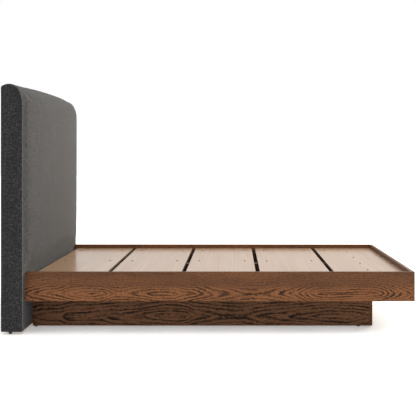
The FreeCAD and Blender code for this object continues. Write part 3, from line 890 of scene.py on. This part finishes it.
    def swell(self, across: Array, height: Array, depth: Array) -> Array:
        """How far the padded cover stands out along its normal.

        crown * (1 - |across|^2.6)^0.9 on the face, crown_top * (1 - |across|^8)^0.8 over the top,
        flat where the cover is tucked behind the deck and the rails, and dipped along the side seams.

        Args:
            across: places across the width in metres, 0 in the middle.
            height: height of each place.
            depth: depth of each place behind the seam's plane.

        Returns:
            The outward shift in metres.
        """
        share = np.clip(np.abs(across) / self.half, 0.0, 1.0)
        face_shape = (1.0 - share ** 2.6) ** 0.9
        top_shape = (1.0 - share ** 8.0) ** 0.8
        above = smooth_rise(height, self.deck - 0.005, self.deck + 0.125)
        over = smooth_rise(depth, 0.0, self.deep * 0.75)
        full = self.crown * above * (1.0 - over) * face_shape + self.crown_top * over * top_shape
        full *= 1.0 - smooth_rise(depth, self.deep * 0.80, self.deep * 0.99)
        for fold in self.folds:
            full += fold.lift(across, height - self.deck)
        edge = near(self.half - np.abs(across), self.seam_wide)
        dip = self.seam_dip * (0.25 + 0.75 * smooth_rise(height, self.deck + 0.02, self.deck + 0.12))
        return full - dip * edge ** 1.5

    def front_pad(self) -> Piece:
        """The front pad, which falls over the round top edge and ends at the back seam.

        Its two sides are the outline carried across the width and moved along its normals: out by
        the swell, and in by fill_depth, of which a fifth is left at the back.

        Returns:
            The pad, filled.
        """
        line, normal, length = self.outline(self.pitch)
        half = self.half - self.seam_in
        first = -half + np.array(self.edge_columns)
        middle = even_steps((-half + self.edge_wide, half - self.edge_wide), (self.column,))
        across = np.concatenate([first, middle, -first[::-1]])
        depth, height, normal_deep, normal_high, along = (
            in_rows(values, len(across)) for values in (*line.T, *normal.T, length)
        )
        wide = np.broadcast_to(across, depth.shape)
        over = smooth_rise(depth, self.corner_deep * 0.5, self.deep)
        outward, inward = self.swell(wide, height, depth), -self.fill_depth * (1.0 - 0.8 * over)
        outer, inner = (
            grid_points(wide, self.face + depth + normal_deep * shift, height + normal_high * shift)
            for shift in (outward, inward)
        )
        pad = closed_pad("headboard_front_pad", depth.shape, outer, inner, grid_points(wide, along))
        sewn = near(half - np.abs(wide), 0.05)
        tucked = 1.0 - smooth_rise(height, self.deck + 0.01, self.deck + 0.09)
        behind = smooth_rise(depth, self.deep * 0.45, self.deep * 0.9)
        held = np.maximum(np.maximum(sewn, tucked), behind)
        held = np.concatenate([held.ravel(), np.ones(held.size)])
        self.stuffing.fill(pad, held)
        return pad

    def boxing_panel(self, side: int) -> Piece:
        """A padded side panel whose front edge follows the outline.

        Rows are heights; each row runs from the outline's front to its back. The panel stands out by
        puff * sin(pi * share) - seam_dip * (dip^1.5 + roll^2): it dips at the seam along its front
        and top edges and rolls round to the back and the foot.

        Args:
            side: -1 for the left panel, 1 for the right.

        Returns:
            The panel.
        """
        bottom, foot_round = self.bottom, self.foot_round
        line = self.outline(self.side_pitch)[0]
        peak = int(np.argmax(line[:, 1]))
        front, back = line[: peak + 1], line[peak:][::-1]
        turn = np.linspace(0.0, QUARTER, 26)
        heights = np.concatenate(
            [
                bottom + foot_round * (1 - np.cos(turn[:-1:4])),
                np.linspace(bottom + foot_round, self.top - self.corner_high, self.side_rows)[:-1],
                self.top - self.corner_high * (1 - np.sin(turn)),
            ]
        )
        heights[-1] -= 0.0004  # keeps the last row from closing to a point
        low_turn = np.clip((bottom + foot_round - heights) / foot_round, 0.0, 1.0)
        foot_in = foot_round * (1 - np.sqrt(1 - low_turn ** 2))
        start = np.maximum(np.interp(heights, front[:, 1], front[:, 0]), foot_in * 0.5)
        end = np.interp(heights, back[:, 1], back[:, 0], left=self.deep) - foot_in * 0.5
        share = 0.5 - 0.5 * np.cos(np.linspace(0, math.pi, self.side_columns))
        depth = start[:, None] + (end - start)[:, None] * share
        height = in_rows(heights, len(share))
        dip = near(np.minimum(depth - start[:, None], (self.top - height) * 1.2), self.seam_wide)
        roll = near(np.minimum(self.deep - depth, height - bottom), self.side_roll)
        out = self.side_puff * np.sin(np.pi * share) - self.seam_dip * (dip ** 1.5 + roll ** 2)
        outer, inner = (
            grid_points(side * (self.half + shift), self.face + depth, height)
            for shift in (out, -self.side_thick)
        )
        uv = grid_points(depth + side * CLOTH_GAP, height)
        panel = closed_pad("headboard_boxing" + SIDES[side], depth.shape, outer, inner, uv, flip=side < 0)
        rim = np.minimum(np.minimum(depth - start[:, None], end[:, None] - depth), height - bottom)
        held = near(np.minimum(rim, self.top - height), 0.02)
        self.edge_stuffing.fill(panel, np.concatenate([held.ravel(), np.ones(held.size)]))
        return panel

    def seam_cord(self, side: int) -> Piece:
        """The sewn edge between the front pad and a side panel, a thin roll along the outline.

        Each ring is the line's point plus radius times (cosine, sine) in its normal and sideways.

        Args:
            side: -1 for the left seam, 1 for the right.

        Returns:
            The roll, with closed ends.
        """
        line, normal, length = self.outline(self.seam_pitch)
        radius, sectors = self.seam_radius, self.seam_sectors
        centre = line - normal * (radius * 0.9)
        angle = np.linspace(0.0, 2 * math.pi, sectors + 1)
        thick = np.full(len(line), radius)
        thick[[0, -1]] = 1e-5  # closes the ends
        out, sideways = (wave[None, :] * thick[:, None] for wave in (np.cos(angle), np.sin(angle)))
        points = grid_points(
            side * (self.half - radius * 1.1 + sideways),
            self.face + centre[:, :1] + normal[:, :1] * out,
            centre[:, 1:] + normal[:, 1:] * out,
        )
        uv = grid_points(angle * radius + side * 2 * CLOTH_GAP, in_rows(length, sectors + 1))
        faces = grid_quads(len(line), sectors + 1, 0, side < 0)
        return mesh_piece("headboard_seam" + SIDES[side], points, faces, uv)

    def back_cover(self) -> Piece:
        """The flat back cover, turned in along all four edges.

        depth = back - ease - turn * dip^2 + ripple * sin(9 x) * sin(7 z + 1), with dip 1 at the edges.

        Returns:
            The cover, with its thickness.
        """
        low, high = np.array(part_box("headboard_cover_back"))
        wide, height = np.meshgrid(np.linspace(low[0], high[0], 90), np.linspace(low[2], high[2], 70))
        edge = np.minimum(high[0] - np.abs(wide), np.minimum(height - low[2], high[2] - height))
        dip = near(edge, 0.02)
        ripple = self.back_ripple * np.sin(wide * 9.0) * np.sin(height * 7.0 + 1.0)
        y = high[1] + self.back_proud - self.back_ease - self.back_turn * dip ** 2 + ripple * (1 - dip)
        faces = grid_quads(*wide.shape, flip=True)
        cover = mesh_piece("headboard_back_cover", grid_points(wide, y, height), faces,
                           grid_points(wide + 3 * CLOTH_GAP, height))
        solid = cover.modifiers.new("thickness", "SOLIDIFY")
        solid.thickness, solid.offset = self.back_thick, -1.0
        return cover

    def build(self) -> None:
        """Makes, dresses and mounts every cover."""
        front = self.front_pad()
        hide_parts("headboard_cover_front", "headboard_foam")
        seams = [self.seam_cord(side) for side in SIDES]
        # Painted highlight: the seam rolls are the same cloth in lighter greys, standing in for the light
        # caught along the sewn edges.
        seam_highlight = replace(self.cloth, name="seam_cloth_painted_highlight", dark=stain(66, 66, 67), middle=stain(98, 98, 98),
                         light=stain(128, 127, 125)).material()
        cloth = self.cloth.material()
        slubs = replace(self.cloth.slubs, along=80.0, across=110.0)
        edging = replace(self.cloth, name="charcoal_edging", slubs=slubs).material()
        for seam in seams:
            dress(seam, seam_highlight)
            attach(seam, BED_BODY)
        panels = {"left": self.boxing_panel(-1), "right": self.boxing_panel(1)}
        for side, panel in panels.items():
            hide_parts("headboard_cover_" + side, "headboard_wadding_" + side)
        back = self.back_cover()
        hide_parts("headboard_cover_back")
        for piece in (front, *panels.values(), back):
            dress(piece, edging if piece in panels.values() else cloth)
            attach(piece, BED_BODY)
        for piece in (front, *panels.values()):
            smooth = piece.modifiers.new("smooth", "SUBSURF")
            smooth.levels = smooth.render_levels = 1


# The plinth's veneer: wider rings that stay strong higher up the board, and darker tones that are painted
# shade under the rails' overhang.
PLINTH_GRAIN_AND_SHADE: dict[str, object] = {
    "figure": PLINTH_FIGURE, "ring": 0.0088, "band": (0.16, 0.03),
    "light": stain(124, 86, 60), "body": stain(86, 60, 43), "dark": stain(34, 24, 18),
}


@dataclass
class Timber:
    """Stained rails and plinth, the deck, and the plain wood behind them."""

    rails: tuple[StainedVeneer, ...] = (
        StainedVeneer("stained_rail_left", Grain.ALONG_Y, 0.209, 0.9765, -2.065, seed=2.0),
        # The right rail's lighter tones are painted light: they stand in for the light on its inner face,
        # which faces the camera.
        StainedVeneer("stained_rail_right_painted_light", Grain.ALONG_Y, 0.214, -1.0885, 2.065, seed=41.0,
                      light=stain(164, 110, 73), body=stain(122, 84, 58), dark=stain(62, 42, 30)),
        StainedVeneer("stained_rail_foot", Grain.ALONG_X, 0.212, -0.80, 1.90, seed=77.0),
    )
    plinth: tuple[StainedVeneer, ...] = (
        # The plinth boards take the darker tones, painted shade under the rails' overhang.
        StainedVeneer("stained_plinth_left_painted_shade", Grain.ALONG_Y, 0.056, 0.9755, -1.867, seed=13.0, **PLINTH_GRAIN_AND_SHADE),
        StainedVeneer("stained_plinth_right_painted_shade", Grain.ALONG_Y, 0.066, -0.8915, 1.867, seed=58.0, **PLINTH_GRAIN_AND_SHADE),
        StainedVeneer("stained_plinth_front_painted_shade", Grain.ALONG_X, 0.070, 0.75, -1.50, seed=91.0, **PLINTH_GRAIN_AND_SHADE),
    )
    deck: DeckPlywood = DeckPlywood()

    def dress_all(self) -> None:
        """Gives each timber node the finish whose grain runs the way its board does."""
        boards = (
            "side_rail_left", "side_rail_right", "foot_rail",
            "plinth_side_left", "plinth_side_right", "plinth_front",
        )
        stained = {finish: (node,) for finish, node in zip(self.rails + self.plinth, boards)}
        stained[self.deck] = tuple("deck_panel_%d" % number for number in range(1, 6))
        pine = (stain(150, 122, 86), stain(108, 78, 48))
        # Painted shade: the frame pieces under the deck and inside the plinth get dark brown tones that
        # stand in for the shade they sit in.
        shaded_pine = (stain(50, 36, 27), stain(32, 23, 17))
        ply = (stain(142, 118, 86), stain(104, 78, 50))
        board = (stain(84, 60, 41), stain(60, 42, 29))
        plain = {
            PlainTimber("pine_along_x", Grain.ALONG_X, *pine, seed=1.0): (
                "headboard_top_rail", "headboard_fixing_rail", "headboard_bottom_rail",
                "headboard_noggin_centre", *both_sides("headboard_noggin"),
            ),
            PlainTimber("pine_upright", Grain.ALONG_Z, *pine, seed=3.0): (
                both_sides("headboard_post", "headboard_stud")
            ),
            PlainTimber("pine_in_painted_shade_along_x", Grain.ALONG_X, *shaded_pine, seed=6.0): (
                "foot_ledger", "plinth_back",
            ),
            PlainTimber("pine_in_painted_shade_along_y", Grain.ALONG_Y, *shaded_pine, seed=2.0): (
                "plinth_spine", "plinth_spine_batten", *both_sides("side_ledger"),
            ),
            PlainTimber("pine_in_painted_shade_upright", Grain.ALONG_Z, *shaded_pine, seed=8.0): (
                both_sides("corner_block", "plinth_block_front", "plinth_block_back")
            ),
            PlainTimber("bare_plywood", Grain.ALONG_X, *ply, ring=0.02, seed=4.0, contrast=0.35): (
                "headboard_front_board", "headboard_packing_board",
            ),
            PlainTimber("hardboard", Grain.ALONG_Z, *board, ring=0.05, seed=5.0, contrast=0.2): (
                "headboard_back_board",
            ),
        }
        log.info("timber: %d boards and panels, %d plain", dress_nodes(stained), dress_nodes(plain))


@dataclass
class Hardware:
    """Screws, bolts, brackets, inserts and levelling feet."""

    brass: PlainMetal = PlainMetal("yellow_brass", stain(196, 164, 96), stain(150, 122, 66))
    zinc: PlainMetal = PlainMetal("zinc_steel", stain(190, 192, 196), stain(140, 142, 146))
    black: PlainMetal = PlainMetal("black_steel", stain(34, 34, 36), stain(52, 51, 50), 0.2, 0.5)

    def dress_all(self) -> None:
        """Gives every metal and plastic node its finish."""
        timber = ("foot_rail", "foot_ledger", "foot_inserts")
        feet = [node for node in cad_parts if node.startswith("foot_") and node not in timber]
        count = dress_nodes({
            self.brass: ("foot_inserts",),
            self.zinc: ("bracket_bolts", "frame_screws", "plinth_screws"),
            self.black: both_sides("rail_bracket"),
            MouldedNylon(): feet,
        })
        log.info("hardware: %d nodes, %d of them feet", count, len(feet))


@dataclass
class DeckScrews:
    """The domed brass screws that hold the deck panels down; all sizes are in metres."""

    radius: float = 0.0060
    crown: float = 0.0034  # height of the dome
    sunk: float = 0.0020  # how far its underside lies in the deck
    taper: float = 0.7  # the underside's radius, as a share
    recess: float = 0.0016  # depth of the cross
    grid: int = 13
    turn: float = 2.399963  # from one head to the next, the golden angle in radians
    finish: PlainMetal = PlainMetal("aged_brass", stain(112, 90, 50), stain(72, 56, 28), 1.0, 0.42)
    ledger_line: float = 0.770  # across the bed, over the side ledgers
    board_line: float = 0.593  # over the plinth's sides
    batten_line: float = -0.029  # over the spine
    ledger_step: float = 0.104  # from a panel's middle line to its screws
    board_step: float = 0.137
    middles: tuple[float, ...] = (0.760, 0.351, -0.058, -0.467, -0.876)  # of the panels, along Y
    end_rows: tuple[tuple[float, ...], ...] = ((-0.8815, 0.166, 0.498), (-1.0585, 0.200, 0.600))

    def places(self) -> Array:
        """Where the screws sit, count by 2: pairs on every line under a panel, and two end rows.

        Each is a line across the bed, and a panel's middle plus or minus that line's step.
        """
        ledgers, boards = ((-line, line) for line in (self.ledger_line, self.board_line))
        sites = (
            (self.middles, ledgers, (-self.ledger_step, self.ledger_step)),
            (self.middles[:-1], (boards[0], self.batten_line, boards[1]),
             (-self.board_step, self.board_step)),
            (self.middles[-1:], boards, (self.board_step,)),
        )
        places = [
            (line, middle + step)
            for middles, lines, steps in sites for middle in middles for line in lines for step in steps
        ]
        rows = [(side * place, y) for y, *row in self.end_rows for side in SIDES for place in row]
        return np.array(places + rows)

    def head(self) -> tuple[Array, Array]:
        """One head about the origin: a shallow dome with a cross recess and a closed underside.

        A square grid is pressed into a disc by x * sqrt(1 - y^2 / 2) and y * sqrt(1 - x^2 / 2).
        The recess is two crossed slots that end at half the radius.

        Returns:
            Its points, and its quads.
        """
        line = np.sin(np.linspace(-1.0, 1.0, self.grid) * QUARTER)
        u, v = np.meshgrid(line, line)
        x, y = u * np.sqrt(1 - v ** 2 / 2), v * np.sqrt(1 - u ** 2 / 2)
        far = np.hypot(x, y)
        dome = self.crown * np.sqrt(np.clip(1.0 - far ** 2, 0.0, 1.0))
        slot = np.minimum(np.abs(x), np.abs(y))
        recess = (1 - smooth_rise(slot, 0.06, 0.20)) * (1 - smooth_rise(far, 0.42, 0.58))
        x, y = x * self.radius, y * self.radius
        top = grid_points(x, y, dome - self.recess * recess)
        low = grid_points(x * self.taper, y * self.taper, -self.sunk)
        return np.concatenate([top, low]), closed_quads(self.grid, self.grid)

    def build(self) -> None:
        """Sets every head in the deck, each turned its own way, as one piece."""
        points, quads = self.head()
        places = self.places()
        turn = np.arange(len(places)) * self.turn
        cos, sin = np.cos(turn)[:, None], np.sin(turn)[:, None]
        x = points[:, 0] * cos - points[:, 1] * sin + places[:, :1]
        y = points[:, 0] * sin + points[:, 1] * cos + places[:, 1:]
        faces = quads[None] + (np.arange(len(places)) * len(points))[:, None, None]
        heads = mesh_piece("deck_screw_heads", grid_points(x, y, points[:, 2] + DECK_TOP),
                           faces.reshape(-1, 4))
        dress(heads, self.finish.material())
        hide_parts("deck_screws")
        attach(heads, BED_BODY)
        log.info("deck screws: %d heads", len(places))


@dataclass(frozen=True)
class SoftLight:
    """A square soft light turned towards a point."""

    name: str
    place: tuple[float, float, float]  # m
    aim: tuple[float, float, float]  # m
    side: float  # m
    watts: float
    colour: tuple[float, float, float] = (1.0, 0.925, 0.81)

    def build(self) -> None:
        """Hangs the light in the scene."""
        data = bpy.data.lights.new(self.name, "AREA")
        data.shape, data.size, data.energy = "SQUARE", self.side, self.watts
        data.color = self.colour
        lamp = add_piece(self.name, data)
        x, y, z = np.array(self.aim) - np.array(self.place)
        lamp.location = self.place
        lamp.rotation_euler = (math.atan2(np.hypot(x, y), -z), 0.0, math.atan2(-x, y))


@dataclass
class Studio:
    """Pale floor, soft lights and the camera."""

    floor_half: float = 40.0  # m
    paint: Colour = (0.99, 0.99, 0.99, 1.0)
    glow: float = 0.3  # the floor's own light, which thins the shadow on it
    lights: tuple[SoftLight, ...] = (
        SoftLight("foot_light", (7.8, -5.55, 3.5), (0.0, 0.9, 0.75), 3.3, 1080.0),
        SoftLight("top_light", (0.0, -0.6, 4.2), (0.0, -0.2, 0.3), 3.2, 60.0),
    )
    lens: float = 83.67  # mm
    shift: tuple[float, float] = (-0.0644, -0.125)
    eye: tuple[float, float, float] = (-5.9166, -0.1353, 0.937)  # m
    far: float = 200.0  # where the camera stops seeing, m

    def build(self) -> None:
        """Makes the floor, the world, the lights and the camera."""
        half = self.floor_half
        corners = grid_points(*np.meshgrid((-half, half), (-half, half)), 0.0)
        floor = mesh_piece("studio_floor", corners, grid_quads(2, 2))
        dress(floor, Wiring("floor_paint").finish(self.paint, 0.9, emission_strength=self.glow))
        world = bpy.data.worlds.new("studio")
        world.use_nodes = True
        sky = world.node_tree.nodes["Background"].inputs
        sky["Color"].default_value, sky["Strength"].default_value = (1.0, 1.0, 1.0, 1.0), 1.0
        bpy.context.scene.world = world
        for light in self.lights:
            light.build()
        data = bpy.data.cameras.new("camera")
        data.lens = self.lens
        data.shift_x, data.shift_y = self.shift
        data.clip_end = self.far
        camera = add_piece("camera", data)
        camera.location = self.eye
        camera.rotation_euler = (QUARTER, 0.0, -QUARTER)
        bpy.context.scene.camera = camera
        bpy.context.scene.view_settings.view_transform = "Standard"


def main() -> None:
    """Builds the studio and the bed's sub-assemblies in order."""
    logging.basicConfig(level=logging.INFO, format="%(message)s")
    Studio().build()
    log.info("studio: floor, lights, camera")
    Timber().dress_all()
    Hardware().dress_all()
    DeckScrews().build()
    Headboard().build()


if __name__ == "__main__":
    main()
